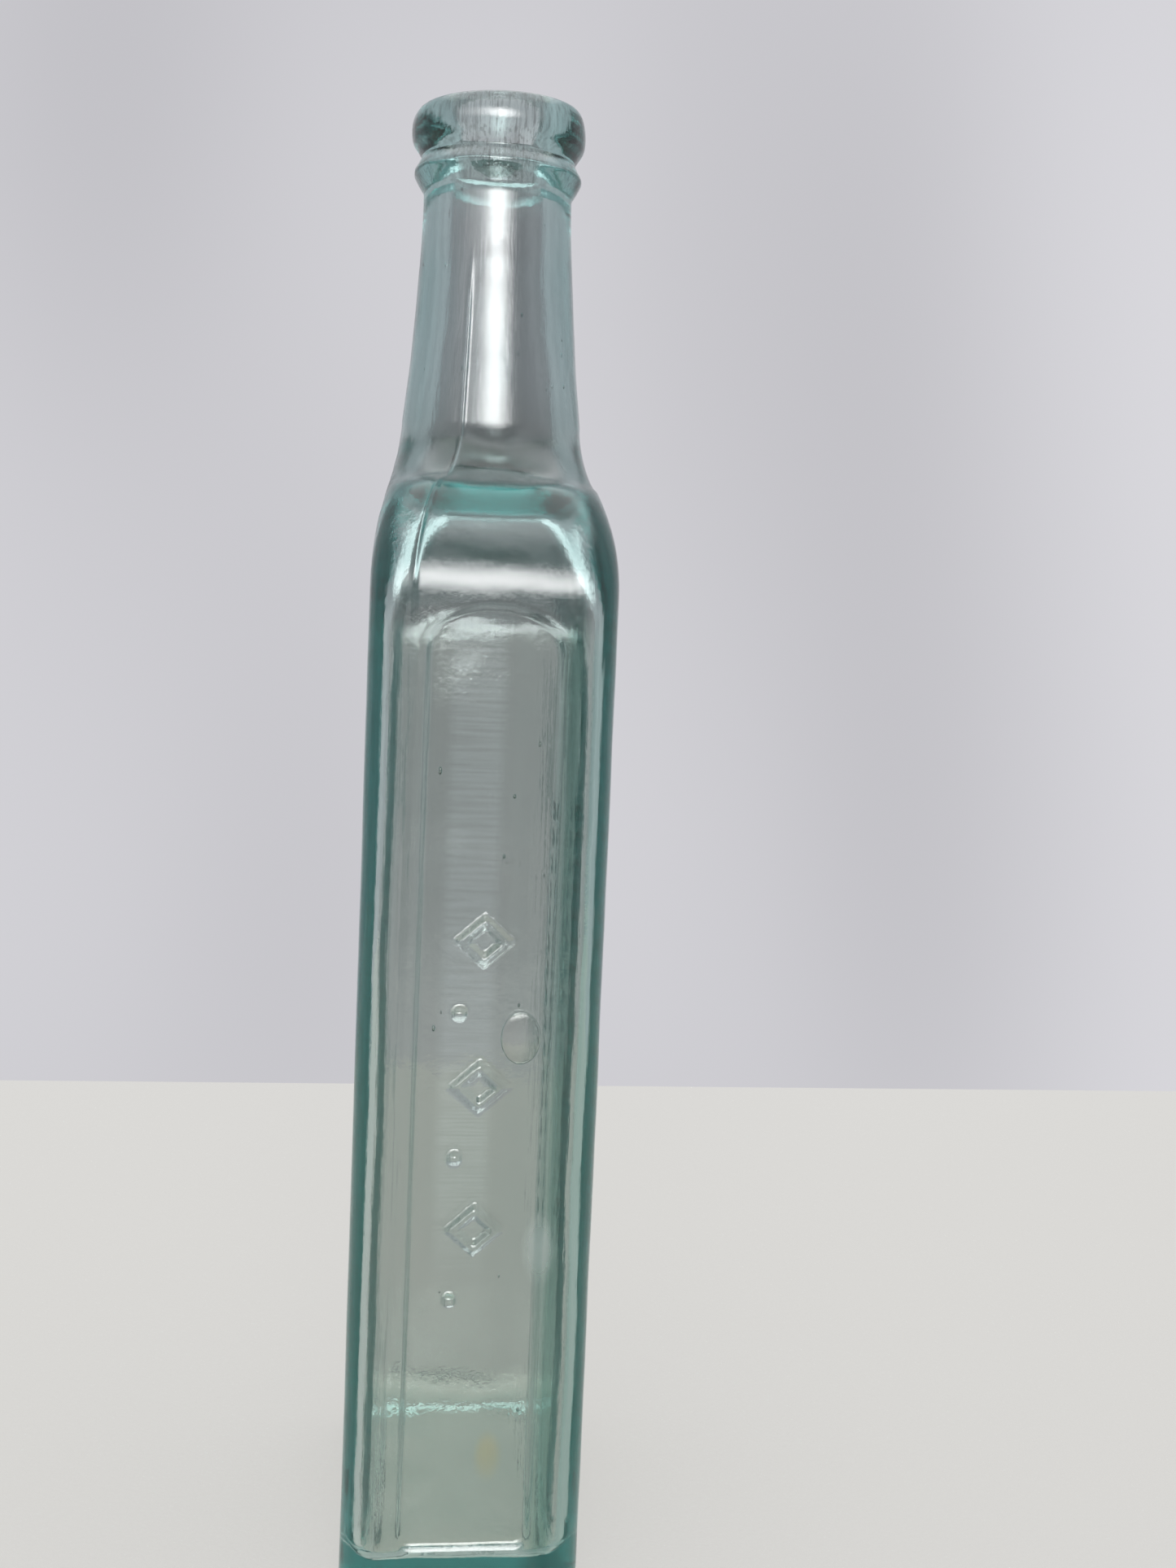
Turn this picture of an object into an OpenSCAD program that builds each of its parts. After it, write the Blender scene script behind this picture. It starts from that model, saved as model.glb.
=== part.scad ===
// Rectangular panelled glass bottle with a double-ring cork finish.
// One piece of glass: body, shoulder, neck and finish are the same gather.
// The origin is at the middle of the base, +Z points out of the mouth, and
// the narrow sides face -Y and +Y.

/* [Body] */
// Width across the narrow side, along X
body_x = 38; // [34:0.5:60]
// Width across the broad side, along Y
body_y = 65; // [48:1:100]
// Height of the upright walls
wall_top = 157; // [110:1:220]
// Outer radius of the four upright corners
corner_r = 6.5; // [5:0.5:9]
// Rounding between the walls and the base
heel_r = 2.5; // [1:0.5:4]

/* [Glass] */
// Thickness of the four walls
wall = 3.2; // [2.2:0.1:4]
// Thickness of the glass under the cavity
base_t = 5.5; // [4:0.5:9]
// Radius of the cavity's upright corners
cavity_r = 3.3; // [2.5:0.1:8]
// Radius between the cavity's floor and its walls
floor_r = 3; // [2:0.5:6]

/* [Base] */
// Depth of the recess under the base
kick_depth = 1.2; // [0.4:0.1:2]
// Width of the ring that the bottle stands on
kick_ring = 5; // [4:0.5:8]

/* [Shoulder] */
// Height from the upright walls to the neck
shoulder_h = 29; // [20:1:40]

/* [Neck] */
// Diameter where the neck meets the shoulder
neck_low_d = 29.4; // [26:0.2:33]
// Diameter just under the finish
neck_high_d = 24.1; // [22.5:0.2:26]
// Height of the neck
neck_h = 36.5; // [25:0.5:60]
// Thickness of the glass at the foot of the neck
neck_wall = 4.5; // [3:0.1:6]

/* [Mouth] */
// Diameter of the cork bore
bore_d = 15; // [11:0.5:18]
// Length of the cork bore, from the mouth down
bore_l = 26; // [15:1:34]
// Rounding of the bore's top edge
mouth_r = 1.2; // [0.5:0.1:2]

/* [Finish] */
// Diameter of the upper ring, the lip
lip_d = 28.3; // [27:0.1:34]
// Height of the lip
lip_h = 8.5; // [5:0.5:11]
// Diameter of the lower ring, the collar
collar_d = 27.2; // [26.4:0.1:33]
// Height of the collar
collar_h = 5.5; // [3.5:0.5:8]
// Diameter of the groove between the two rings
groove_d = 24.7; // [23:0.1:26]

/* [Panels] */
// Depth of the sunken panels
panel_depth = 0.8; // [0.4:0.1:1.2]
// Flat border between an upright corner and a panel
panel_border = 2.5; // [1:0.5:5]
// Height of the panels' lower edge
panel_low = 9; // [6:1:30]
// Distance from the panels' crown to the top of the walls
panel_gap = 1.5; // [1:0.5:12]

/* [Ornament] */
// How far the ornaments stand up from a panel's floor
relief = 0.6; // [0.2:0.1:1]
// Width of a lozenge on the narrow panel
lozenge_w = 8.8; // [5:0.2:12]
// Height of a lozenge on the narrow panel
lozenge_h = 7.8; // [5:0.2:12]
// Width of a lozenge's raised line
lozenge_line = 1.3; // [0.8:0.1:2]
// Number of lozenges
lozenges = 3; // [1:1:5]
// Height of the lowest lozenge's middle
lozenge_low = 60; // [30:1:80]
// Distance from one lozenge to the next
lozenge_pitch = 22.5; // [16:0.5:30]
// Diameter of the dot below each lozenge
dot_d = 2.4; // [1.5:0.1:4]
// How far the dots lie to the side of the panel's middle
dot_shift = 3.4; // [0:0.2:5]
// Number of short bars in each column on the broad panel
bars = 17; // [5:1:24]
// Height of the lowest bar
bar_low = 52; // [30:1:80]
// Distance from one bar to the next
bar_pitch = 4.4; // [3:0.2:8]
// Length of a bar
bar_l = 7; // [3:0.5:10]
// Width of a bar
bar_w = 1.6; // [0.8:0.1:2.5]
// Distance between the two columns of bars
column_gap = 19; // [12:0.5:30]

/* [Hidden] */

ARC_STEPS = 9;        // facets on each corner of a lofted section
RING_STEPS = 12;      // sections through the shoulder
EDGE_STEPS = 4;       // sections round the heel and the cavity floor
EDGE_CORNER = 1.2;    // least corner radius of those sections
OVERLAP = 1;          // how far a cut or a joined part runs past a face
SMOOTH = 96;          // facets of a full circle
ARCH_CORNER = 0.55;   // a panel's corner radius, as a share of its half width
ARCH_CROWN = 1.4;     // a panel's crown radius, as a share of its half width
DOME_H = 0.62;        // share of the shoulder's height that bulges outwards
DOME_IN = 0.5;        // share of the way to the neck at the top of that bulge
DOME_ROUND = 0.7;     // how far the bulge follows round arcs, from 0 to 1
WAIST_LATE = 1.35;    // how late the broad sides draw in to the neck
NECK_FLARE = 1.5;     // how the neck widens downwards: 1 is a plain cone
NECK_STEPS = 8;       // rings along the neck's outline
SEAM_R = 0.35;        // radius of the mould seam's bead
SEAM_PROUD = 0.12;    // how far the seam stands out of the glass
SEAM_ANGLE = 86;      // where on the corner's quarter turn the seam lies

// Outlines of the two rings from below: [distance inside the ring's widest
// radius, share of the ring's height].
COLLAR_OUTLINE = [[0.55, 0.3], [0, 0.54], [0.65, 0.8]];
LIP_OUTLINE = [[1.1, 0.13], [0.4, 0.25], [0.05, 0.38], [0, 0.56], [0.17, 0.72], [0.55, 0.88], [1.3, 1]];

shoulder_top = wall_top + shoulder_h;
neck_top = shoulder_top + neck_h;
collar_top = neck_top + collar_h;
bottle_h = collar_top + lip_h;
bore_low = bottle_h - bore_l;
neck_low_r = neck_low_d / 2;
cavity_neck_r = neck_low_r - neck_wall;
panel_top = wall_top - panel_gap;
panel_x = body_x / 2 - corner_r - panel_border;  // half width, narrow panels
panel_y = body_y / 2 - corner_r - panel_border;  // half width, broad panel

function smooth(t) = t * t * (3 - 2 * t);

// How far the narrow sides have drawn in at share t of the shoulder's height:
// they leave the upright wall as an arc and meet the neck as an opposite arc.
function dome_ease(t) =
    let (arcs = t < DOME_H
             ? DOME_IN * (1 - sqrt(1 - pow(t / DOME_H, 2)))
             : 1 - (1 - DOME_IN) * (1 - sqrt(1 - pow((1 - t) / (1 - DOME_H), 2))))
    mix(smooth(t), arcs, DOME_ROUND);

// The same for the broad sides, which draw in less and higher up.
function waist_ease(t) = pow(smooth(t), WAIST_LATE);

function mix(low, high, t) = low + (high - low) * t;

// A section is [height, half width, half depth, corner radius]. Its corner
// facets touch the true arc, so its flat sides lie exactly on the walls.
function section_points(s) =
    [for (q = [0:3], i = [0:ARC_STEPS - 1])
        let (angle = 90 * (q + (i + 0.5) / ARC_STEPS),
             side_x = (q == 0 || q == 3) ? 1 : -1,
             side_y = q < 2 ? 1 : -1,
             r = s[3] / cos(45 / ARC_STEPS))
        [side_x * (s[1] - s[3]) + r * cos(angle),
         side_y * (s[2] - s[3]) + r * sin(angle),
         s[0]]];

// Sections round an edge of radius r between a flat end and upright walls.
function edge_sections(z, x, y, corner, r) =
    [for (i = [0:EDGE_STEPS])
        let (turn = 90 * i / EDGE_STEPS, inset = r * (1 - sin(turn)))
        [z + r * (1 - cos(turn)), x - inset, y - inset, max(corner - inset, EDGE_CORNER)]];

// Sections from the upright walls to a round neck of radius neck_r.
function shoulder_sections(z, h, x, y, corner, neck_r) =
    [for (i = [0:RING_STEPS])
        let (turn = 180 * i / RING_STEPS,
             t = (1 - cos(turn)) / 2)
        [z + h * t, mix(x, neck_r, waist_ease(t)), mix(y, neck_r, dome_ease(t)),
         mix(corner, neck_r, waist_ease(t))]];

// A closed solid through a list of sections, from the lowest to the highest.
module loft(sections) {
    n = 4 * ARC_STEPS;
    last = len(sections) - 1;
    sides = [for (k = [0:last - 1], i = [0:n - 1])
        [k * n + i, (k + 1) * n + i, (k + 1) * n + (i + 1) % n, k * n + (i + 1) % n]];
    floor_face = [for (i = [0:n - 1]) i];
    top_face = [for (i = [n - 1:-1:0]) last * n + i];
    polyhedron([for (s = sections) each section_points(s)],
               concat([floor_face, top_face], sides), convexity = 4);
}

// A panel's outline standing on y = 0: upright sides, a three-centred arch.
module arched_outline(half_w, h) {
    corner = ARCH_CORNER * half_w;
    crown = ARCH_CROWN * half_w;
    middle_x = half_w - corner;
    middle_drop = sqrt(pow(crown - corner, 2) - pow(middle_x, 2));
    spring = h - crown + middle_drop;
    crown_x = middle_x * crown / (crown - corner);
    translate([-half_w, 0]) square([2 * half_w, spring]);
    for (side = [-1, 1])
        translate([side * middle_x, spring]) circle(corner, $fn = SMOOTH);
    intersection() {
        translate([0, h - crown]) circle(crown, $fn = SMOOTH);
        translate([-crown_x, spring - OVERLAP]) square([2 * crown_x, h]);
    }
}

// The space of a sunken panel on the wall that faces direction turn.
module panel_cut(half_w, reach, turn) {
    rotate([0, 0, turn])
        translate([0, panel_depth - reach, panel_low])
            rotate([90, 0, 0])
                linear_extrude(panel_depth + OVERLAP)
                    arched_outline(half_w, panel_top - panel_low);
}

module glass_outside() {
    loft(concat(
        edge_sections(0, body_x / 2, body_y / 2, corner_r, heel_r),
        shoulder_sections(wall_top, shoulder_h, body_x / 2, body_y / 2, corner_r,
                          neck_low_r)));
    rotate_extrude($fn = SMOOTH) neck_and_finish_outline();
}

// Half of the neck, collar and lip, as turned by the finishing tool.
module neck_and_finish_outline() {
    lip_r = lip_d / 2;
    collar_r = collar_d / 2;
    groove_r = groove_d / 2;
    polygon(concat(
        [[0, bottle_h], [0, shoulder_top - OVERLAP], [neck_low_r - OVERLAP, shoulder_top - OVERLAP]],
        [for (i = [0:NECK_STEPS])
            let (down = 1 - i / NECK_STEPS)
            [mix(neck_high_d / 2, neck_low_r, pow(down, NECK_FLARE)),
             mix(neck_top, shoulder_top, down)]],
        [for (p = COLLAR_OUTLINE) [collar_r - p[0], neck_top + p[1] * collar_h]],
        [[groove_r, collar_top]],
        [for (p = LIP_OUTLINE) [lip_r - p[0], collar_top + p[1] * lip_h]]));
}

module cavity() {
    loft(concat(
        edge_sections(base_t, body_x / 2 - wall, body_y / 2 - wall, cavity_r, floor_r),
        shoulder_sections(wall_top - wall / 2, shoulder_h, body_x / 2 - wall,
                          body_y / 2 - wall, cavity_r, cavity_neck_r)));
    translate([0, 0, shoulder_top - wall])
        cylinder(h = bore_low - shoulder_top + wall, r1 = cavity_neck_r,
                 r2 = bore_d / 2, $fn = SMOOTH);
}

module mouth_bore() {
    translate([0, 0, bore_low - OVERLAP])
        cylinder(h = bore_l + 2 * OVERLAP, d = bore_d, $fn = SMOOTH);
    translate([0, 0, bottle_h - mouth_r])
        cylinder(h = mouth_r + OVERLAP, r1 = bore_d / 2,
                 r2 = bore_d / 2 + mouth_r + OVERLAP, $fn = SMOOTH);
}

module base_recess() {
    x = body_x / 2 - kick_ring;
    y = body_y / 2 - kick_ring;
    translate([0, 0, -OVERLAP])
        linear_extrude(kick_depth + OVERLAP)
            rounded_square(x, y, max(corner_r - kick_ring, 1.5));
}

module rounded_square(x, y, r) {
    square([2 * (x - r), 2 * y], center = true);
    square([2 * x, 2 * (y - r)], center = true);
    for (side_x = [-1, 1], side_y = [-1, 1])
        translate([side_x * (x - r), side_y * (y - r)]) circle(r, $fn = SMOOTH);
}

// A raised lozenge line and its dot, drawn flat and then stood on the panel.
module lozenge() {
    difference() {
        lozenge_shape(lozenge_w / 2, lozenge_h / 2);
        lozenge_shape(lozenge_w / 2 - 1.5 * lozenge_line, lozenge_h / 2 - 1.5 * lozenge_line);
    }
    translate([-dot_shift, -lozenge_pitch / 2]) circle(d = dot_d, $fn = SMOOTH);
}

module lozenge_shape(x, y) {
    polygon([[-x, 0], [0, -y], [x, 0], [0, y]]);
}

module narrow_ornament() {
    for (i = [0:lozenges - 1])
        translate([0, panel_depth - body_y / 2, lozenge_low + i * lozenge_pitch])
            rotate([90, 0, 0])
                translate([0, 0, -OVERLAP])
                    linear_extrude(relief + OVERLAP) lozenge();
}

module broad_ornament() {
    for (side = [-1, 1], i = [0:bars - 1])
        translate([body_x / 2 - panel_depth - OVERLAP,
                   side * column_gap / 2 - bar_l / 2,
                   bar_low + i * bar_pitch])
            cube([relief + OVERLAP, bar_l, bar_w]);
}

// The mould's two halves met along two opposite corners.
module mould_seams() {
    for (turn = [0, 180])
        rotate([0, 0, turn])
            translate([corner_r - body_x / 2, corner_r - body_y / 2])
                rotate([0, 0, 180 + SEAM_ANGLE])
                    translate([corner_r + SEAM_PROUD - SEAM_R, 0, heel_r + SEAM_R])
                        cylinder(h = wall_top - heel_r - 2 * SEAM_R, r = SEAM_R, $fn = 24);
}

module bottle() {
    color([0.55, 0.78, 0.76, 0.6])
        difference() {
            union() {
                difference() {
                    glass_outside();
                    panel_cut(panel_x, body_y / 2, 0);
                    panel_cut(panel_x, body_y / 2, 180);
                    panel_cut(panel_y, body_x / 2, 90);
                }
                narrow_ornament();
                broad_ornament();
                mould_seams();
            }
            cavity();
            mouth_bore();
            base_recess();
        }
}

bottle();
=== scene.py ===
import math

import bpy
import numpy as np
from mathutils import Matrix, Vector


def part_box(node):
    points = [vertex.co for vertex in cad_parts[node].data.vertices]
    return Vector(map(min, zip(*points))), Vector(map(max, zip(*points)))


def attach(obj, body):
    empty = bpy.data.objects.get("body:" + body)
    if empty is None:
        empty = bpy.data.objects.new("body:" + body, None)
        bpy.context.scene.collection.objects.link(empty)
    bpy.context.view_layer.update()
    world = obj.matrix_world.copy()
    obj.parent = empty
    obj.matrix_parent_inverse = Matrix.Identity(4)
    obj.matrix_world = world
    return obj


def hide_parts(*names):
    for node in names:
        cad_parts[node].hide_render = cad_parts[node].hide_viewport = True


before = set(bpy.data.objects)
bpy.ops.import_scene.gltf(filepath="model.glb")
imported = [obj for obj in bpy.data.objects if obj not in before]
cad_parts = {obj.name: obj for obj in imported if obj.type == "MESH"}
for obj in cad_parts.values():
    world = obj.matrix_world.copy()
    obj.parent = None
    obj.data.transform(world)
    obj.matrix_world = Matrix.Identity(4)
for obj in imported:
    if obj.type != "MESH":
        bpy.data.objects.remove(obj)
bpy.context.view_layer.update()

# Sizes are in millimetres unless a comment says otherwise, and MM turns them into metres.
MM = 0.001
low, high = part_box("bottle")
HALF_X = (high[0] - low[0]) / 2 / MM
HALF_Y = (high[1] - low[1]) / 2 / MM
HEIGHT = (high[2] - low[2]) / MM

# Body and cavity
CORNER_R = 6.5
HEEL_R = 2.5
WALL_TOP = 157.0
WALL = 3.2
BASE_T = 5.5
CAVITY_R = 3.3
FLOOR_R = 3.0

# Recess in the base
KICK_DEPTH = 1.2
KICK_RING = 5.0
KICK_CORNER = 2.0
KICK_EDGE = 1.0

# Shoulder, neck and finish
SHOULDER_H = 29.0
SHOULDER_TOP = WALL_TOP + SHOULDER_H
# The narrow sides' dome: its height and reach as shares, and how much of it is round.
DOME_H, DOME_IN, DOME_ROUND = 0.62, 0.5, 0.7
# The broad sides' waist: above 1 it draws in later.
WAIST_LATE = 1.35
# The cavity draws in lower than the outside does, so the shoulder's roof is thick.
ROOF_DROP, ROOF_H = 7.0, 31.0
NECK_LOW_R, NECK_HIGH_R, NECK_FLARE = 14.7, 12.05, 1.5
COLLAR_H, LIP_H = 5.5, 8.5
COLLAR_TOP = HEIGHT - LIP_H
NECK_TOP = COLLAR_TOP - COLLAR_H
COLLAR_R, GROOVE_R, LIP_R = 13.6, 12.35, 14.15
NECK_WALL = 4.5
BORE_R, BORE_L, MOUTH_R = 7.5, 26.0, 1.2
# Outlines of collar and lip: how far inside the largest radius, at which share of the height.
COLLAR_OUTLINE = [(0.55, 0.3), (0.03, 0.5), (0.1, 0.62), (0.65, 0.8)]
LIP_OUTLINE = [(1.1, 0.13), (0.4, 0.25), (0.06, 0.38), (0, 0.56), (0.17, 0.72), (0.5, 0.86),
               (1.1, 0.97), (2.0, 1)]

# Sunken panels: their corner and crown radii are shares of their half width.
PANEL_DEPTH, PANEL_BORDER, PANEL_EDGE = 0.8, 2.5, 1.3
PANEL_LOW, PANEL_TOP = 9.0, WALL_TOP - 1.5
ARCH_CORNER, ARCH_CROWN, FOOT_R = 0.55, 1.4, 2.0
# How far the cavity bulges in behind a panel and how soft that edge is, as shares of the panel's
# depth and edge. Each bulge is this much wider than its panel, on each side.
BULGE_NARROW, BULGE_NARROW_EDGE = 0.6, 2.2
BULGE_BROAD, BULGE_BROAD_EDGE = 1.4, 3.0
BULGE_WIDER = 0.5

# Ornament. Its ridges are rounded, and spread a little past their line.
RELIEF = 0.8
RIDGE_SPREAD, RIDGE_ROUND = 0.2, 0.6
LOZENGE_W, LOZENGE_H, LOZENGE_LINE = 8.8, 7.8, 1.3
LOZENGES, LOZENGE_LOW, LOZENGE_PITCH = 3, 60.0, 22.5
DOT_R, DOT_SHIFT = 1.2, 3.4
BARS, BAR_LOW, BAR_PITCH, BAR_L, BAR_W = 17, 52.0, 4.4, 7.0, 1.6
COLUMN_GAP = 19.0

# Mould seam: a plane through the axis, turned from the narrow side.
SEAM_ANGLE = math.radians(21)
SEAM_PROUD, SEAM_W = 0.3, 0.34
# It rises above the heel, and fades out below the collar.
SEAM_FOOT, SEAM_END, SEAM_FADE = 3.0, 9.0, 12.0
# Its mesh columns, in half widths, and how much room they get.
SEAM_COLUMNS, SEAM_ROOM = np.array([-3, -2, -1, 0, 1, 2, 3]), 1.2

# Uneven glass: height of the waves, their length, seed, and how much longer they are in x, y and z.
OUTSIDE_WAVES = [(0.05, 42, 3, (1, 1, 1)), (0.018, 13, 5, (1, 1, 1))]
INSIDE_WAVES = [(0.32, 70, 11, (1, 1, 1)), (0.07, 17, 13, (2.2, 2.2, 1)), (0.02, 6, 17, (3, 3, 1))]
FLOOR_WAVES = [(0.25, 24, 19, (1, 1, 1))]
# The waves fade out towards the axis, and inside towards the bore.
CALM_R, CALM_FADE, BORE_FADE = 3.0, 4.0, 8.0
NECK_LEAN, LEAN_BEND = 0.5, 1.5
# The slant starts at this share of the lip's height.
LIP_SLANT, LIP_FIRM = math.radians(2), 0.3

# Bubbles: one big flat one behind the front panel, and many small ones in the walls and the neck.
BIG_BUBBLE_X, BIG_BUBBLE_Z, BIG_BUBBLE_DEEP = 6.2, 90.0, 1.1
BIG_BUBBLE_RADII = (3.1, 0.35, 4.1)
BUBBLE_DRAW = 42
# How many, their radius, height and depth or distance from the axis, and how much taller they are.
WALL_SEEDS, WALL_SEED_R, WALL_SEED_Z = 46, (0.12, 0.32), (14, 150)
WALL_SEED_DEEP, WALL_SEED_ALONG, WALL_SEED_TALL = (0.35, 0.65), (-0.75, 0.75), (1, 2.2)
NECK_SEEDS, NECK_SEED_R, NECK_SEED_Z = 16, (0.1, 0.22), (190, 222)
NECK_SEED_OUT, NECK_SEED_TALL = 10.9, 1.8

# Rings on a flat end, as shares of its size.
FLAT_SHARES = (0.1, 0.4, 0.7, 0.9)

# Mesh steps: columns on each side and round the corners, and rows where there is more or less detail.
FRONT_STEP, RIGHT_STEP, BACK_STEP, LEFT_STEP, CORNER_STEP = 0.4, 1.2, 1.2, 4.0, 0.9
FOOT_ROW, PLAIN_ROW, FINE_ROW, CAVITY_ROW, BORE_ROW = 0.6, 1.3, 0.5, 3.6, 1.2
PANEL_FOOT = PANEL_LOW + 2
ORNAMENT_LOW, ORNAMENT_TOP = 44.0, 126.0
ARCH_LOW = PANEL_TOP - 8
SHOULDER_ROWS, NECK_ROWS, ROOF_ROWS, TAPER_ROWS = 34, 20, 30, 18
KICK_ROWS, HEEL_ROWS, FLOOR_ROWS, MOUTH_ROWS = 6, 7, 9, 6
COLLAR_ROWS, LIP_ROWS = 4, 3
# Two lengths nearer than this count as the same.
TOUCH = 0.01


# ---------------------------------------------------------------- helpers

def smooth(t):
    t = np.clip(t, 0, 1)
    return t * t * (3 - 2 * t)


def mix(a, b, t):
    return a + (b - a) * t


def steps(start, end, step):
    """Evenly spaced values from start up to, but not including, end."""
    count = max(1, round(abs(end - start) / step))
    return np.linspace(start, end, count, endpoint=False)


def ripple(points, size, seed, stretch):
    """A soft random wave between about -1 and 1, the same for the same seed."""
    random = np.random.default_rng(seed)
    total = np.zeros(points.shape[:-1])
    count = 9
    for _ in range(count):
        direction = random.normal(size=3) / np.array(stretch)
        turn = random.uniform(0, 2 * math.pi)
        total += np.sin(points @ direction * (2 * math.pi / size) + turn)
    return total / math.sqrt(count)


def waves(points, kinds):
    """Ripples of several kinds laid over each other."""
    return sum(amount * ripple(points, size, seed, stretch)
               for amount, size, seed, stretch in kinds)


# ---------------------------------------------------------------- the glass

def dome_ease(t):
    """How far the narrow sides have drawn in at share t of the shoulder."""
    rise = DOME_IN * (1 - np.sqrt(np.clip(1 - (t / DOME_H) ** 2, 0, 1)))
    rest = (1 - t) / (1 - DOME_H)
    settle = 1 - (1 - DOME_IN) * (1 - np.sqrt(np.clip(1 - rest ** 2, 0, 1)))
    return mix(smooth(t), np.where(t < DOME_H, rise, settle), DOME_ROUND)


def waist_ease(t):
    """The same for the broad sides."""
    return smooth(t) ** WAIST_LATE


def outline_radius(angle, a, b, corner):
    """Distance from the axis to a rounded rectangle's outline, along angle.
    Angle 0 is -Y and a quarter turn is +X."""
    dx, dy = np.abs(np.sin(angle)), np.abs(np.cos(angle))
    to_x = a / np.maximum(dx, 1e-9)
    to_y = b / np.maximum(dy, 1e-9)
    cx, cy = a - corner, b - corner
    along = dx * cx + dy * cy
    to_corner = along + np.sqrt(np.maximum(along ** 2 - cx ** 2 - cy ** 2 + corner ** 2, 0))
    return np.where(to_x * dy <= cy, to_x, np.where(to_y * dx <= cx, to_y, to_corner))


def column_angles():
    """The angles of the mesh's columns: close where the glass has detail."""
    flat_x, flat_y = HALF_X - CORNER_R, HALF_Y - CORNER_R
    quarter = CORNER_R * math.pi / 2

    def flat(half, out, turn, step):
        along = steps(-half, half, step)
        return turn + np.arctan2(along, out)

    def corner(turn, swap):
        bend = steps(0, quarter, CORNER_STEP) / CORNER_R
        x = (flat_y if swap else flat_x) + CORNER_R * np.sin(bend)
        y = (flat_x if swap else flat_y) + CORNER_R * np.cos(bend)
        return turn + np.arctan2(x, y)

    half_turn = math.pi / 2
    angles = np.concatenate([
        flat(flat_x, HALF_Y, 0, FRONT_STEP), corner(0, False),
        flat(flat_y, HALF_X, half_turn, RIGHT_STEP), corner(half_turn, True),
        flat(flat_x, HALF_Y, 2 * half_turn, BACK_STEP), corner(2 * half_turn, False),
        flat(flat_y, HALF_X, 3 * half_turn, LEFT_STEP), corner(3 * half_turn, True)])
    seam_r = outline_radius(SEAM_ANGLE, HALF_X, HALF_Y, CORNER_R)
    fine = SEAM_COLUMNS * SEAM_W / 2 / seam_r
    full = 2 * math.pi
    for seam in (full - SEAM_ANGLE, math.pi - SEAM_ANGLE):
        gap = np.abs((angles - seam + math.pi) % full - math.pi)
        angles = np.concatenate([angles[gap > fine[-1] * SEAM_ROOM], seam + fine])
    return np.sort(angles % full)


def edge_rings(z, a, b, corner, r, turns):
    """Rings round the edge between a flat end and upright walls."""
    inset = r * (1 - np.sin(turns))
    return np.stack([z + r * (1 - np.cos(turns)), a - inset, b - inset, corner - inset], 1)


def shoulder_rings(z, height, a, b, corner, neck_r, shares):
    """Rings at shares of the way from a rounded rectangle up to a round neck."""
    waist, dome = waist_ease(shares), dome_ease(shares)
    return np.stack([z + height * shares, mix(a, neck_r, waist), mix(b, neck_r, dome),
                     mix(corner, neck_r, waist)], 1)


def round_rings(z, r):
    return np.stack([z, r, r, r], 1)


def smooth_outline(points, count):
    """A Catmull-Rom curve through points, with count steps between each two."""
    p = np.array([points[0]] + points + [points[-1]], float)
    t = np.arange(count)[:, None] / count
    parts = []
    for a, b, c, d in zip(p, p[1:], p[2:], p[3:]):
        parts.append(0.5 * (2 * b + (c - a) * t + (2 * a - 5 * b + 4 * c - d) * t ** 2
                            + (3 * b - a - 3 * c + d) * t ** 3))
    return np.concatenate(parts + [p[-1:]])


def outside_rings():
    """Sections [z, half x, half y, corner] from the middle of the base to the lip."""
    quarter = np.linspace(0, math.pi / 2, HEEL_ROWS)
    ring_x, ring_y = HALF_X - KICK_RING, HALF_Y - KICK_RING
    kick = np.linspace(0, 1, KICK_ROWS)
    out = KICK_EDGE * kick
    recess = [np.array([[KICK_DEPTH, share * ring_x, share * ring_y, share * KICK_CORNER]])
              for share in FLAT_SHARES]
    recess.append(np.stack([KICK_DEPTH * (1 - smooth(kick)), ring_x + out, ring_y + out,
                            KICK_CORNER + out], 1))
    levels = np.concatenate([
        steps(HEEL_R, PANEL_FOOT, FOOT_ROW)[1:], steps(PANEL_FOOT, ORNAMENT_LOW, PLAIN_ROW),
        steps(ORNAMENT_LOW, ORNAMENT_TOP, FINE_ROW), steps(ORNAMENT_TOP, ARCH_LOW, PLAIN_ROW),
        steps(ARCH_LOW, WALL_TOP, FINE_ROW)])
    n = len(levels)
    walls = np.stack([levels, np.full(n, HALF_X), np.full(n, HALF_Y), np.full(n, CORNER_R)], 1)
    shares = np.linspace(0, 1, SHOULDER_ROWS)
    neck = np.linspace(0, 1, NECK_ROWS)[1:]
    collar = [(COLLAR_R - inside, NECK_TOP + share * COLLAR_H) for inside, share in COLLAR_OUTLINE]
    lip = [(LIP_R - inside, COLLAR_TOP + share * LIP_H) for inside, share in LIP_OUTLINE]
    groove = [(GROOVE_R, COLLAR_TOP)]
    lower = smooth_outline([(NECK_HIGH_R, NECK_TOP)] + collar + groove, COLLAR_ROWS)
    upper = smooth_outline(groove + lip, LIP_ROWS)
    finish = np.concatenate([lower[1:], upper[1:]])
    return np.concatenate(recess + [
        edge_rings(0, HALF_X, HALF_Y, CORNER_R, HEEL_R, quarter),
        walls,
        shoulder_rings(WALL_TOP, SHOULDER_H, HALF_X, HALF_Y, CORNER_R, NECK_LOW_R, shares),
        round_rings(mix(SHOULDER_TOP, NECK_TOP, neck),
                    mix(NECK_HIGH_R, NECK_LOW_R, (1 - neck) ** NECK_FLARE)),
        round_rings(finish[:, 1], finish[:, 0])])


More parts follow.
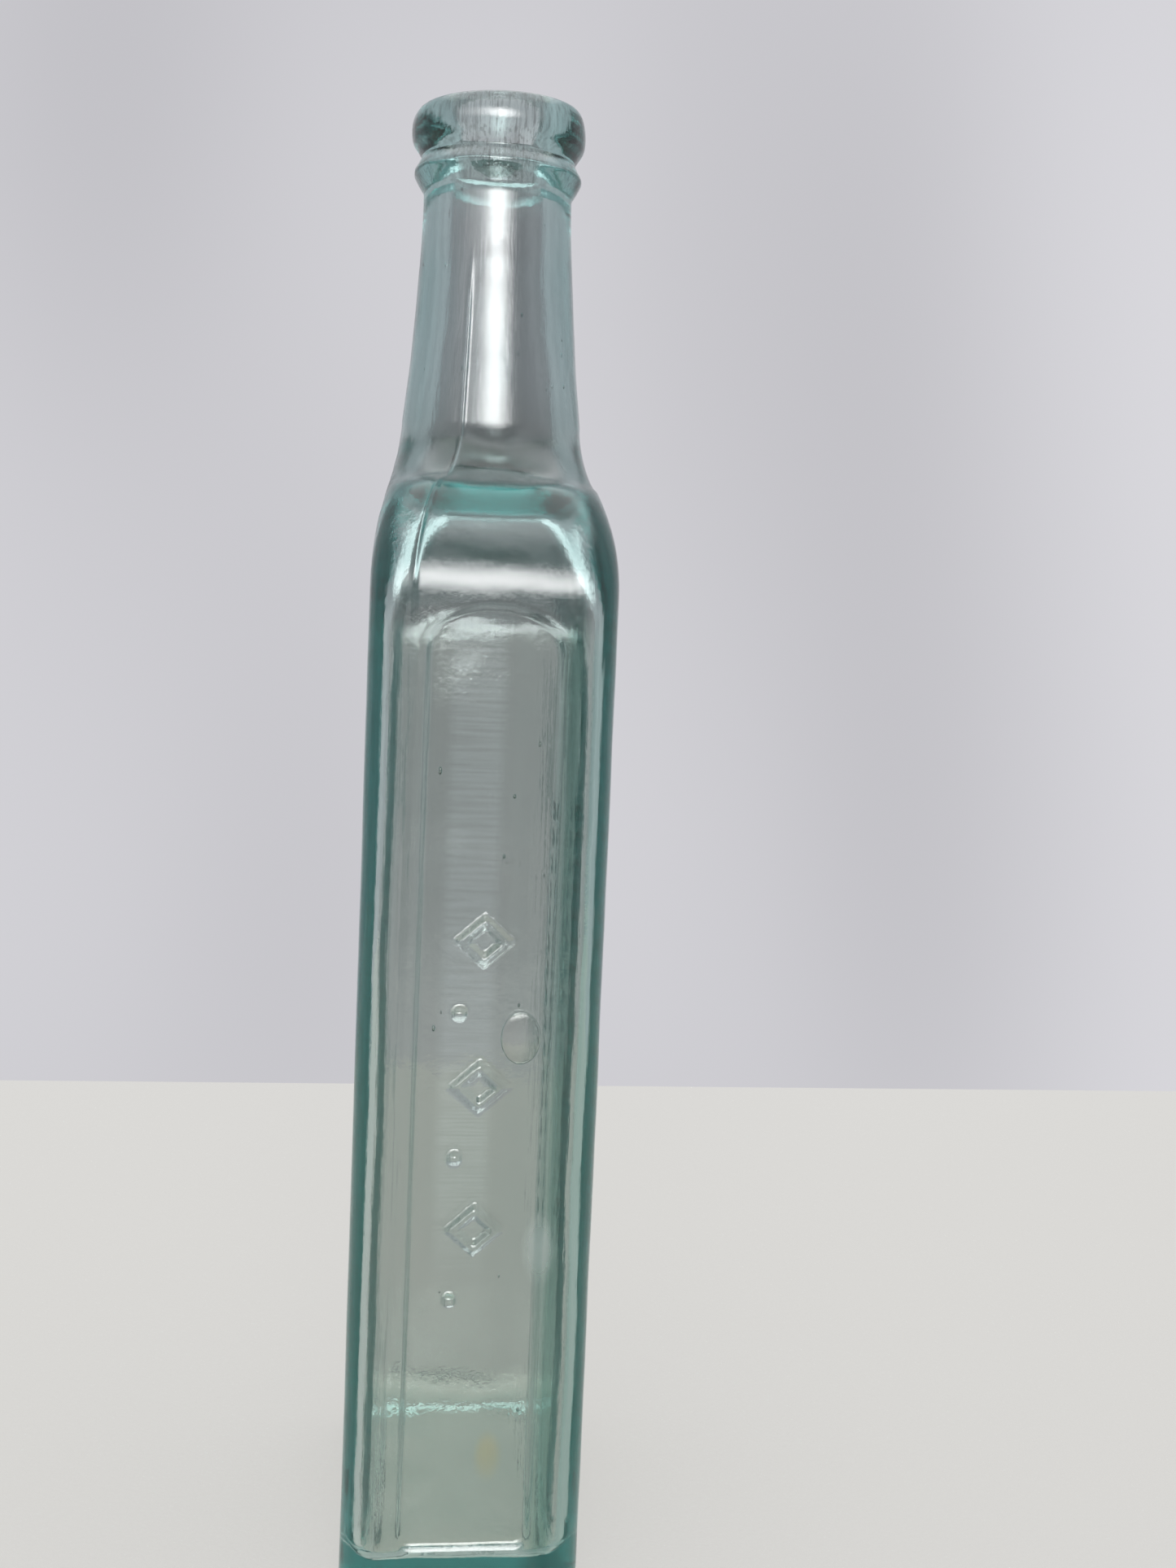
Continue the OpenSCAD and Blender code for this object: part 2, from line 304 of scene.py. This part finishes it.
def inside_rings():
    """Sections from the mouth down the bore and round the cavity to its floor."""
    turns = np.linspace(0, math.pi / 2, MOUTH_ROWS)
    mouth = round_rings(HEIGHT - MOUTH_R * (1 - np.cos(turns)),
                        BORE_R + MOUTH_R * (1 - np.sin(turns)))
    bore_low = HEIGHT - BORE_L
    bore = steps(HEIGHT - MOUTH_R, bore_low, BORE_ROW)[1:]
    cavity_neck_r = NECK_LOW_R - NECK_WALL
    x, y, top = HALF_X - WALL, HALF_Y - WALL, WALL_TOP - ROOF_DROP
    taper = np.linspace(0, 1, TAPER_ROWS, endpoint=False)
    shares = np.linspace(1, 0, ROOF_ROWS)
    levels = steps(top, BASE_T + FLOOR_R, CAVITY_ROW)[1:]
    n = len(levels)
    walls = np.stack([levels, np.full(n, x), np.full(n, y), np.full(n, CAVITY_R)], 1)
    bend = np.linspace(math.pi / 2, 0, FLOOR_ROWS)
    floor = edge_rings(BASE_T, x, y, CAVITY_R, FLOOR_R, bend)
    flat = [np.array([[BASE_T, share * floor[-1, 1], share * floor[-1, 2], share * floor[-1, 3]]])
            for share in reversed(FLAT_SHARES)]
    return np.concatenate([
        mouth,
        round_rings(bore, np.full(len(bore), BORE_R)),
        round_rings(mix(bore_low, top + ROOF_H, taper), mix(BORE_R, cavity_neck_r, taper)),
        shoulder_rings(top, ROOF_H, x, y, CAVITY_R, cavity_neck_r, shares),
        walls, floor] + flat)


def ring_points(rings, angles):
    """The points of all rings, one on each ring at each angle."""
    z, a, b, corner = (rings[:, i:i + 1] for i in range(4))
    r = outline_radius(angles[None, :], a, b, corner)
    return np.stack([r * np.sin(angles), -r * np.cos(angles), z + 0 * r], 2)


def arch_distance(u, z, half_w):
    """Signed distance to a panel's outline, negative inside."""
    corner, crown = ARCH_CORNER * half_w, ARCH_CROWN * half_w
    side = np.abs(u)
    corner_x = half_w - corner
    crown_z = PANEL_TOP - crown
    spring = crown_z + math.sqrt((crown - corner) ** 2 - corner_x ** 2)
    q_side = side - half_w + FOOT_R
    q_foot = PANEL_LOW - z + FOOT_R
    box = (np.hypot(np.maximum(q_side, 0), np.maximum(q_foot, 0))
           + np.minimum(np.maximum(q_side, q_foot), 0) - FOOT_R)
    on_crown = side * (spring - crown_z) < corner_x * (z - crown_z)
    arch = np.where(on_crown, np.hypot(side, z - crown_z) - crown,
                    np.hypot(side - corner_x, z - spring) - corner)
    return np.where(z > spring, arch, box)


def sunk(u, z, half_w):
    """How deep a panel is at u, z."""
    return PANEL_DEPTH * smooth(0.5 - arch_distance(u, z, half_w) / PANEL_EDGE)


def raised(distance, half_w):
    """A rounded ridge: full height in the middle, nothing past half_w."""
    return np.clip(1 - (distance / half_w) ** 2, 0, 1) ** RIDGE_ROUND


def lozenge_relief(u, z):
    """Lozenges one above the other, with a round dot half a pitch below each."""
    total = np.zeros_like(u)
    w, h = LOZENGE_W / 2, LOZENGE_H / 2
    slant = w * h / math.hypot(w, h)
    for i in range(LOZENGES):
        v = z - LOZENGE_LOW - i * LOZENGE_PITCH
        line = np.abs(np.abs(u) / w + np.abs(v) / h - 1 + LOZENGE_LINE / 2 / slant) * slant
        total = np.maximum(total, raised(line, LOZENGE_LINE / 2 + RIDGE_SPREAD))
        dot = np.hypot(u + DOT_SHIFT, v + LOZENGE_PITCH / 2)
        total = np.maximum(total, np.sqrt(np.clip(1 - (dot / DOT_R) ** 2, 0, 1)))
    return RELIEF * total


def bar_relief(u, z):
    """Two columns of plain bars."""
    total = np.zeros_like(u)
    for side in (-1, 1):
        for i in range(BARS):
            away = np.maximum(np.abs(u - side * COLUMN_GAP / 2) - BAR_L / 2 + BAR_W / 2, 0)
            v = z - BAR_LOW - BAR_W / 2 - i * BAR_PITCH
            total = np.maximum(total, raised(np.hypot(away, v), BAR_W / 2 + RIDGE_SPREAD))
    return RELIEF * total


def mould_detail(points, angles):
    """Panels, ornaments and seams on the outside."""
    x, y, z = (points[..., i] for i in range(3))
    on_y = np.abs(x) <= HALF_X - CORNER_R + TOUCH
    on_x = np.abs(y) <= HALF_Y - CORNER_R + TOUCH
    wall = (z > HEEL_R) & (z < WALL_TOP)
    narrow, broad = HALF_X - CORNER_R - PANEL_BORDER, HALF_Y - CORNER_R - PANEL_BORDER
    front, back = wall & on_y & (y < 0), wall & on_y & (y > 0)
    right = wall & on_x & (x > 0)
    deep_y = sunk(x, z, narrow)
    deep_x = sunk(y, z, broad)
    points[..., 1] += np.where(front, deep_y - lozenge_relief(x, z), 0)
    points[..., 1] -= np.where(back, deep_y, 0)
    points[..., 0] -= np.where(right, deep_x - bar_relief(y, z), 0)
    r = np.hypot(x, y)
    for seam in (-SEAM_ANGLE, math.pi - SEAM_ANGLE):
        away = np.abs((angles - seam + math.pi) % (2 * math.pi) - math.pi)[None, :] * r
        fade = smooth((z - HEEL_R) / SEAM_FOOT) * smooth((NECK_TOP - SEAM_END - z) / SEAM_FADE)
        bead = SEAM_PROUD * np.exp(-(away / SEAM_W) ** 2) * fade / r
        points[..., 0] += x * bead
        points[..., 1] += y * bead


def inner_panels(points):
    """The cavity's walls bulge in behind the panels, softer than the panels' edges."""
    x, y, z = (points[..., i] for i in range(3))
    narrow, broad = HALF_X - CORNER_R - PANEL_BORDER, HALF_Y - CORNER_R - PANEL_BORDER
    on_y = np.abs(y) > np.abs(x) + HALF_Y - HALF_X
    away_y = arch_distance(x, z, narrow + BULGE_WIDER) / (BULGE_NARROW_EDGE * PANEL_EDGE)
    away_x = arch_distance(y, z, broad + BULGE_WIDER) / (BULGE_BROAD_EDGE * PANEL_EDGE)
    in_y = BULGE_NARROW * PANEL_DEPTH * smooth(0.5 - away_y)
    in_x = BULGE_BROAD * PANEL_DEPTH * smooth(0.5 - away_x)
    points[..., 1] -= np.where(on_y, in_y * np.sign(y), 0)
    points[..., 0] -= np.where(on_y, 0, in_x * np.sign(x))


def hand_made(points, inside):
    """The unevenness of blown and hand-finished glass."""
    x, y, z = (points[..., i] for i in range(3))
    r = np.maximum(np.hypot(x, y), 1)
    if inside:
        below_bore = smooth((HEIGHT - BORE_L + BORE_FADE / 2 - z) / BORE_FADE)
        wave = waves(points, INSIDE_WAVES) * below_bore
        on_floor = smooth((BASE_T + FLOOR_R - z) / FLOOR_R)
        points[..., 2] += waves(points, FLOOR_WAVES) * on_floor
    else:
        wave = waves(points, OUTSIDE_WAVES)
    keep = smooth((r - CALM_R) / CALM_FADE)
    points[..., 0] += wave * keep * x / r
    points[..., 1] += wave * keep * y / r


def crooked_finish(points):
    """The neck leans a little, and the lip's top sits slightly aslant."""
    x, z = points[..., 0].copy(), points[..., 2].copy()
    above = np.clip((z - SHOULDER_TOP) / (HEIGHT - SHOULDER_TOP), 0, 1)
    points[..., 0] -= NECK_LEAN * above ** LEAN_BEND
    lip = smooth((z - COLLAR_TOP - LIP_FIRM * LIP_H) / ((1 - LIP_FIRM) * LIP_H))
    points[..., 2] -= (LIP_R - x) * math.tan(LIP_SLANT) * lip


def ring_faces(count, columns):
    """Quads between rings, and a face that closes each end."""
    k, j = np.meshgrid(np.arange(count - 1), np.arange(columns), indexing="ij")
    nxt = (j + 1) % columns
    quads = np.stack([k * columns + j, k * columns + nxt, (k + 1) * columns + nxt,
                      (k + 1) * columns + j], -1).reshape(-1, 4)
    first = list(range(columns - 1, -1, -1))
    last = [(count - 1) * columns + i for i in range(columns)]
    return quads.tolist() + [first, last]


def bubble(centre, radii, rings=5, columns=8):
    """A closed void in the glass: its faces look into the void."""
    turns = np.linspace(0, math.pi, rings + 2)[1:-1]
    around = np.linspace(0, 2 * math.pi, columns, endpoint=False)
    grid = np.stack([np.outer(np.sin(turns), np.cos(around)),
                     np.outer(np.sin(turns), np.sin(around)),
                     np.outer(np.cos(turns), np.ones(columns))], 2).reshape(-1, 3)
    verts = np.array(centre) + np.concatenate([grid, [[0, 0, 1], [0, 0, -1]]]) * np.array(radii)
    top, bottom = rings * columns, rings * columns + 1
    faces = []
    for j in range(columns):
        nxt = (j + 1) % columns
        faces.append([top, nxt, j])
        for k in range(rings - 1):
            a, b = k * columns, (k + 1) * columns
            faces.append([a + j, a + nxt, b + nxt, b + j])
        last = (rings - 1) * columns
        faces.append([bottom, last + j, last + nxt])
    return verts, faces


def seeds():
    """Bubbles in the four walls and the neck."""
    random = np.random.default_rng(BUBBLE_DRAW)
    big = (BIG_BUBBLE_X, PANEL_DEPTH + BIG_BUBBLE_DEEP - HALF_Y, BIG_BUBBLE_Z)
    made = [bubble(big, BIG_BUBBLE_RADII, rings=13, columns=28)]
    for _ in range(WALL_SEEDS):
        size = random.uniform(*WALL_SEED_R)
        depth = WALL * random.uniform(*WALL_SEED_DEEP)
        height = random.uniform(*WALL_SEED_Z)
        side = random.integers(0, 4)
        along = random.uniform(*WALL_SEED_ALONG)
        if side < 2:
            y = (HALF_Y - PANEL_DEPTH / 2 - depth) * (1 if side else -1)
            centre = (along * (HALF_X - CORNER_R), y, height)
        else:
            x = (HALF_X - PANEL_DEPTH / 2 - depth) * (1 if side == 2 else -1)
            centre = (x, along * (HALF_Y - CORNER_R), height)
        made.append(bubble(centre, (size, size, size * random.uniform(*WALL_SEED_TALL))))
    for _ in range(NECK_SEEDS):
        turn = random.uniform(0, 2 * math.pi)
        height = random.uniform(*NECK_SEED_Z)
        size = random.uniform(*NECK_SEED_R)
        centre = (NECK_SEED_OUT * math.sin(turn), -NECK_SEED_OUT * math.cos(turn), height)
        made.append(bubble(centre, (size, size, size * NECK_SEED_TALL)))
    return made


def make_glass():
    """The bottle as one closed mesh: outside, mouth and cavity in one skin, and the bubbles."""
    angles = column_angles()
    outside = ring_points(outside_rings(), angles)
    inside = ring_points(inside_rings(), angles)
    mould_detail(outside, angles)
    inner_panels(inside)
    hand_made(outside, False)
    hand_made(inside, True)
    points = np.concatenate([outside, inside])
    crooked_finish(points)
    np.clip(points[..., 0], -HALF_X, HALF_X, out=points[..., 0])
    np.clip(points[..., 1], -HALF_Y, HALF_Y, out=points[..., 1])
    np.clip(points[..., 2], 0, HEIGHT, out=points[..., 2])
    faces = ring_faces(*points.shape[:2])
    verts = [points.reshape(-1, 3)]
    used = len(verts[0])
    for v, f in seeds():
        verts.append(v)
        faces += [[i + used for i in face] for face in f]
        used += len(v)
    mesh = bpy.data.meshes.new("bottle_glass")
    mesh.from_pydata((np.concatenate(verts) * MM).tolist(), [], faces)
    mesh.polygons.foreach_set("use_smooth", [True] * len(mesh.polygons))
    mesh.validate()
    glass = bpy.data.objects.new("bottle_glass", mesh)
    bpy.context.scene.collection.objects.link(glass)
    return glass


# ---------------------------------------------------------------- materials

class Nodes:
    """A short way to write the node tree of a material or of the world."""

    def __init__(self, owner):
        owner.use_nodes = True
        self.tree = owner.node_tree
        self.tree.nodes.clear()

    def add(self, kind, settings=(), **inputs):
        node = self.tree.nodes.new(kind)
        for key, value in dict(settings).items():
            setattr(node, key, value)
        for key, value in inputs.items():
            socket = node.inputs[key.replace("_", " ")]
            if isinstance(value, bpy.types.NodeSocket):
                self.tree.links.new(value, socket)
            else:
                socket.default_value = value
        return node

    def link(self, source, target):
        self.tree.links.new(source, target)


def spread(n, source, start, end, low=0.0, high=1.0):
    """A soft step from low to high as source goes from start to end."""
    step = n.add("ShaderNodeMapRange", dict(interpolation_type="SMOOTHSTEP"), Value=source)
    step.inputs["From Min"].default_value = start
    step.inputs["From Max"].default_value = end
    step.inputs["To Min"].default_value = low
    step.inputs["To Max"].default_value = high
    return step.outputs["Result"]


def calculate(n, operation, *values):
    """The result of one arithmetic step on sockets or numbers."""
    node = n.add("ShaderNodeMath", dict(operation=operation))
    for socket, value in zip(node.inputs, values):
        if isinstance(value, bpy.types.NodeSocket):
            n.link(value, socket)
        else:
            socket.default_value = value
    return node.outputs["Value"]


def overlap(n, *masks):
    """Masks multiplied: 1 only where each of them is."""
    total = masks[0]
    for mask in masks[1:]:
        total = calculate(n, "MULTIPLY", total, mask)
    return total


def stretched(n, place, scale):
    """The same place with each axis multiplied by its own scale."""
    node = n.add("ShaderNodeVectorMath", dict(operation="MULTIPLY"))
    n.link(place, node.inputs[0])
    node.inputs[1].default_value = scale
    return node.outputs["Vector"]


def oval_distance(n, place, centre, radii):
    """How far place is from centre, 1 at the edge of an oval with those radii."""
    away = n.add("ShaderNodeVectorMath", dict(operation="DISTANCE"))
    n.link(stretched(n, place, [1 / r for r in radii]), away.inputs[0])
    away.inputs[1].default_value = [c / r for c, r in zip(centre, radii)]
    return away.outputs["Value"]


def spot(n, place, centre, radii):
    """1 in the middle of a soft oval mark, 0 outside it. Centre and radii are in millimetres."""
    centre = [c * MM for c in centre]
    radii = [r * MM for r in radii]
    return spread(n, oval_distance(n, place, centre, radii), *SPOT_EDGE, 1, 0)


def recolour(n, under, mask, colour):
    """The tint under, changed to colour where mask is 1. It lays real stains and painted light alike.
    """
    node = n.add("ShaderNodeMix", dict(data_type="RGBA"), Factor=mask)
    if isinstance(under, bpy.types.NodeSocket):
        n.link(under, node.inputs["A"])
    else:
        node.inputs["A"].default_value = under
    node.inputs["B"].default_value = colour
    return node.outputs["Result"]


# Places of the marks on the glass, in millimetres: where each starts and where it is full, or the
# other way round where it fades out.
STRIP_MIDDLE, STRIP_HALF = -2.2, (2.6, 5.2)
STRIP_FRONT, STRIP_FOOT, STRIP_TOP = (-30, -20), (40, 75), (150, 165)
MOUTH_START, LINES_START = (219, 224), (219, 226)
TEAL_IN, TEAL_OUT, TEAL_CORNER = (9.5, 12.2), (12.8, 14.2), (14.2, 15.6)
TEAL_FRONT, TEAL_TOP = (-28.5, -26.5), (146, 160)
UPPER_START, WORN_TOP = (150, 165), (180, 195)
BASE_TOP, BASE_FRONT = (6, 11), (-31, -27)
# A painted highlight, low on the front and right of the middle: a lamp's reflection inside the wall.
PAINTED_HIGHLIGHT_PLACE, PAINTED_HIGHLIGHT_RADII = (10.2, -32.5, 57), (2.8, 6, 6)
RUST_PLACE, RUST_RADII = (3.5, -32.5, 23.5), (2.4, 6, 4.2)
BUBBLE_PLACE, BUBBLE_RADII = (6.2, -30.6, 90), (4.4, 0.9, 5.6)
# A spot is full inside the first share of its radii and gone at the second.
SPOT_EDGE = (0.45, 1.15)
# How strong the teal gets on the corner itself.
TEAL_SHARE = 0.85

# Noise behind the marks: how it is stretched, and the values between which it counts.
BANDS_STRETCH, BANDS_SPAN, BANDS_LEAST = (14, 14, 360), (0.3, 0.62), 0.35
LINES_STRETCH, LINES_SPAN = (420, 420, 22), (0.48, 0.66)
HAZE_SPAN, HAZE_ROUGHNESS = (0.5, 0.78), (0.012, 0.11)

# What the surface lets through in each place. Most of it is age, but the lighter strip and mouth are
# partly painted light, and the lighter base and the highlight spot wholly, as said at each tint. The
# teal stands for the light's long way through the right wall, and the clear one keeps the big bubble
# bright.
BODY_TINT = (0.725, 0.715, 0.69, 1)
# The strip's lighter tint is a painted sheen; its haze itself is real, in its roughness.
STRIP_TINT = (0.87, 0.865, 0.85, 1)
# Painted light: the glass is painted lighter and cream towards the base.
BASE_TINT = (1.0, 0.985, 0.91, 1)
UPPER_TINT = (0.66, 0.615, 0.62, 1)
WORN_TINT = (0.58, 0.535, 0.53, 1)
TEAL_TINT = (0.38, 0.52, 0.475, 1)
CLEAR = (1, 1, 1, 1)
# The mouth's grey is a real stain; its lightness is a painted reflection of the window.
MOUTH_TINT = (0.80, 0.765, 0.76, 1)
GRIME = (0.42, 0.395, 0.39, 1)
# Near clear: a painted highlight.
PAINTED_HIGHLIGHT_TINT = (0.95, 0.94, 0.93, 1)
RUST_TINT = (0.83, 0.72, 0.55, 1)

# The glass itself: the colour that it lets through, how much it absorbs in a metre, and its IOR.
GLASS_COLOUR = (0.06, 0.62, 0.60, 1)
GLASS_DENSITY = 46.0
GLASS_IOR = 1.52


def marks(n, place, lines):
    """Masks for the marks on the glass, each up to 1 where its mark is."""
    axes = n.add("ShaderNodeSeparateXYZ", Vector=place).outputs

    def rises(axis, span, high=1.0):
        return spread(n, axes[axis], span[0] * MM, span[1] * MM, 0, high)

    def falls(axis, span):
        return spread(n, axes[axis], span[0] * MM, span[1] * MM, 1, 0)

    bands = n.add("ShaderNodeTexNoise", Vector=stretched(n, place, BANDS_STRETCH), Detail=2.0)
    across = calculate(n, "ABSOLUTE", calculate(n, "ADD", axes["X"], -STRIP_MIDDLE * MM))
    narrow = spread(n, across, STRIP_HALF[0] * MM, STRIP_HALF[1] * MM, 1, 0)
    banded = spread(n, bands.outputs["Fac"], *BANDS_SPAN, BANDS_LEAST, 1)
    streaked = spread(n, lines, *LINES_SPAN)
    teal_band = overlap(n, rises("X", TEAL_IN), falls("X", TEAL_OUT))
    teal = calculate(n, "ADD", teal_band, rises("X", TEAL_CORNER, TEAL_SHARE))
    upper = rises("Z", UPPER_START)
    return {
        # The strip up the front: real haze, made lighter by a painted sheen.
        "strip": overlap(n, narrow, falls("Y", STRIP_FRONT), rises("Z", STRIP_FOOT),
                         falls("Z", STRIP_TOP), banded),
        # Painted light: the base made lighter and cream.
        "base": overlap(n, falls("Z", BASE_TOP), rises("Y", BASE_FRONT)),
        "upper": upper,
        "worn": overlap(n, upper, falls("Z", WORN_TOP)),
        "teal": overlap(n, teal, falls("Y", TEAL_FRONT), falls("Z", TEAL_TOP)),
        "bubble": spot(n, place, BUBBLE_PLACE, BUBBLE_RADII),
        # The mouth: a grey stain, lightened into a painted reflection of the window.
        "mouth": rises("Z", MOUTH_START),
        "grime": overlap(n, rises("Z", LINES_START), streaked),
        # A painted highlight, where a lamp is reflected inside the wall.
        "painted_highlight": spot(n, place, PAINTED_HIGHLIGHT_PLACE, PAINTED_HIGHLIGHT_RADII),
        "rust": spot(n, place, RUST_PLACE, RUST_RADII),
    }


def aqua_glass():
    """Aqua glass with a film of age and grime at the mouth, and painted light in places: a strip up
    the front lighter by a painted sheen over real haze, a lighter cream base, a mouth lightened into
    a painted reflection, and a painted highlight.
    """
    material = bpy.data.materials.new("aqua_glass")
    n = Nodes(material)
    place = n.add("ShaderNodeTexCoord").outputs["Object"]
    lines = n.add("ShaderNodeTexNoise", Vector=stretched(n, place, LINES_STRETCH), Detail=3.0)
    mark = marks(n, place, lines.outputs["Fac"])

    # Tints laid over the body's: the strip and the mouth are partly painted light, the base and the
    # highlight wholly.
    tint = BODY_TINT
    for name, colour in (("strip", STRIP_TINT), ("base", BASE_TINT), ("upper", UPPER_TINT),
                         ("worn", WORN_TINT), ("teal", TEAL_TINT), ("bubble", CLEAR),
                         ("mouth", MOUTH_TINT), ("grime", GRIME), ("painted_highlight", PAINTED_HIGHLIGHT_TINT),
                         ("rust", RUST_TINT)):
        tint = recolour(n, tint, mark[name], colour)

    haze = n.add("ShaderNodeTexNoise", Vector=place, Scale=38.0, Detail=6.0, Roughness=0.62)
    rough = spread(n, haze.outputs["Fac"], *HAZE_SPAN, *HAZE_ROUGHNESS)
    # The painted highlight is also made rough, which spreads it into a soft pale patch.
    for name, amount in (("strip", 0.02), ("grime", 0.04), ("painted_highlight", 0.3), ("worn", 0.09)):
        rough = calculate(n, "ADD", rough, calculate(n, "MULTIPLY", mark[name], amount))

    swell = n.add("ShaderNodeTexNoise", Vector=place, Scale=160.0, Detail=2.0)
    grain = n.add("ShaderNodeTexNoise", Vector=place, Scale=1400.0, Detail=3.0)
    bump = n.add("ShaderNodeBump", Height=swell.outputs["Fac"], Strength=0.13, Distance=0.6 * MM)
    drawn = n.add("ShaderNodeBump", Height=lines.outputs["Fac"], Strength=0.05, Distance=0.6 * MM,
                  Normal=bump.outputs["Normal"])
    fine = n.add("ShaderNodeBump", Height=grain.outputs["Fac"], Strength=0.09, Distance=0.2 * MM,
                 Normal=drawn.outputs["Normal"])
    surface = n.add("ShaderNodeBsdfPrincipled", Base_Color=tint, Roughness=rough,
                    Normal=fine.outputs["Normal"])
    surface.inputs["Transmission Weight"].default_value = 1.0
    surface.inputs["IOR"].default_value = GLASS_IOR
    volume = n.add("ShaderNodeVolumeAbsorption")
    volume.inputs["Color"].default_value = GLASS_COLOUR
    volume.inputs["Density"].default_value = GLASS_DENSITY
    out = n.add("ShaderNodeOutputMaterial")
    n.link(surface.outputs["BSDF"], out.inputs["Surface"])
    n.link(volume.outputs["Volume"], out.inputs["Volume"])
    return material


def pale_cloth():
    """The floor. Part of its light is its own, so that it stays pale under the bottle."""
    material = bpy.data.materials.new("floor_cloth")
    n = Nodes(material)
    place = n.add("ShaderNodeTexCoord").outputs["Object"]
    weave = n.add("ShaderNodeTexNoise", Vector=place, Scale=900.0, Detail=2.0)
    bump = n.add("ShaderNodeBump", Height=weave.outputs["Fac"], Strength=0.25, Distance=0.4 * MM)
    surface = n.add("ShaderNodeBsdfPrincipled", Roughness=0.9, Normal=bump.outputs["Normal"])
    surface.inputs["Base Color"].default_value = (0.1, 0.098, 0.095, 1)
    surface.inputs["Emission Color"].default_value = (1.0, 0.99, 0.95, 1)
    surface.inputs["Emission Strength"].default_value = 0.5
    out = n.add("ShaderNodeOutputMaterial")
    n.link(surface.outputs["BSDF"], out.inputs["Surface"])
    return material


# ---------------------------------------------------------------- the studio

# The camera: its distance from the axis and its height. Then, in degrees, how far it is turned
# round the bottle, aimed to the right, aimed down and rolled.
CAMERA_BACK = 288.0
CAMERA_UP = 153.0
CAMERA_TURN = -3.6
AIM_RIGHT = 3.72
AIM_DOWN = 5.2
ROLL = 2.5
LENS = 39.2

# The floor's edges, in metres.
FLOOR_SIDE, FLOOR_FRONT, FLOOR_BACK = 0.7, -0.5, 0.27

# The world. Openings and lights are ovals seen from the bottle: a direction, half width and half
# height, the shares of those at which it starts to fade and is gone, and its strength.
CLOTH_HANG = (1, 1, 0.35)
CLOTH_SHADE = (0.50, 0.495, 0.525, 1)
CLOTH_LIGHT = (0.72, 0.715, 0.75, 1)
ROOM_COLOUR = (0.085, 0.08, 0.078, 1)
ROOM = (0, -0.93, 0.3), (0.68, 0.52), (0.75, 1.2), 1
WINDOW = (-0.02, -0.95, 0.28), (0.36, 0.2), (0.05, 1.4), 13
GLOW = (-0.24, -0.93, 0.28), (0.8, 0.25), (0.25, 1.2), 3.6
# The ceiling's light, and between which upward shares of a direction it comes up.
CEILING_SPAN, CEILING_LIGHT = (0.66, 0.84), 1.7
# An oval's depth, short enough to keep it off the far side of the world.
OVAL_DEPTH = 1 / 1.5

# Light runs along the walls and is reflected inside them many times before it leaves their edges.
BOUNCES = 96


def make_camera():
    """A camera a little above half height, close to the narrow side."""
    turn = math.radians(CAMERA_TURN)
    data = bpy.data.cameras.new("camera")
    data.lens, data.sensor_width = LENS, 36.0
    data.clip_start, data.clip_end = 0.01, 20.0
    camera = bpy.data.objects.new("camera", data)
    camera.matrix_world = (
        Matrix.Translation(Vector((CAMERA_BACK * math.sin(turn), -CAMERA_BACK * math.cos(turn),
                                   CAMERA_UP)) * MM)
        @ Matrix.Rotation(turn - math.radians(AIM_RIGHT), 4, "Z")
        @ Matrix.Rotation(math.radians(90 - AIM_DOWN), 4, "X")
        @ Matrix.Rotation(math.radians(ROLL), 4, "Z"))
    bpy.context.scene.collection.objects.link(camera)
    bpy.context.scene.camera = camera


def make_floor():
    """The cloth under the bottle, which is scenery and no part of the object."""
    mesh = bpy.data.meshes.new("floor")
    corners = [(-FLOOR_SIDE, FLOOR_FRONT, 0), (FLOOR_SIDE, FLOOR_FRONT, 0),
               (FLOOR_SIDE, FLOOR_BACK, 0), (-FLOOR_SIDE, FLOOR_BACK, 0)]
    mesh.from_pydata(corners, [], [[0, 1, 2, 3]])
    mesh.materials.append(pale_cloth())
    floor = bpy.data.objects.new("floor", mesh)
    bpy.context.scene.collection.objects.link(floor)


def shine(n, direction, towards, size, fade, strength):
    """A soft oval of light or of opening in the world, strength in its middle and 0 outside."""
    centre = Vector(towards).normalized()
    away = oval_distance(n, direction, centre, (size[0], OVAL_DEPTH, size[1]))
    return spread(n, away, *fade, strength, 0)


def light_studio():
    """A white cloth tent, open to a dimmer room with a soft window on the camera's side."""
    world = bpy.data.worlds.new("studio")
    bpy.context.scene.world = world
    n = Nodes(world)
    direction = n.add("ShaderNodeTexCoord").outputs["Generated"]
    hang = stretched(n, direction, CLOTH_HANG)
    folds = n.add("ShaderNodeTexNoise", Vector=hang, Scale=2.6, Detail=1.0)
    cloth = n.add("ShaderNodeValToRGB", Fac=folds.outputs["Fac"])
    shade, light = cloth.color_ramp.elements
    shade.position, shade.color = 0.3, CLOTH_SHADE
    light.position, light.color = 0.7, CLOTH_LIGHT

    tent = recolour(n, cloth.outputs["Color"], shine(n, direction, *ROOM), ROOM_COLOUR)
    height = n.add("ShaderNodeSeparateXYZ", Vector=direction).outputs["Z"]
    ceiling = spread(n, height, *CEILING_SPAN, 0, CEILING_LIGHT)
    front = calculate(n, "ADD", shine(n, direction, *WINDOW), shine(n, direction, *GLOW))
    lamps = calculate(n, "ADD", front, ceiling)

    total = n.add("ShaderNodeVectorMath", dict(operation="ADD"))
    n.link(tent, total.inputs[0])
    n.link(lamps, total.inputs[1])
    sky = n.add("ShaderNodeBackground", Color=total.outputs["Vector"])
    out = n.add("ShaderNodeOutputWorld")
    n.link(sky.outputs["Background"], out.inputs["Surface"])


scene = bpy.context.scene
scene.view_settings.view_transform = "Standard"
scene.cycles.max_bounces = BOUNCES
scene.cycles.transmission_bounces = BOUNCES
scene.cycles.glossy_bounces = BOUNCES

make_camera()
bottle_glass = make_glass()
bottle_glass.data.materials.append(aqua_glass())
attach(bottle_glass, "root")
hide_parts("bottle")
make_floor()
light_studio()
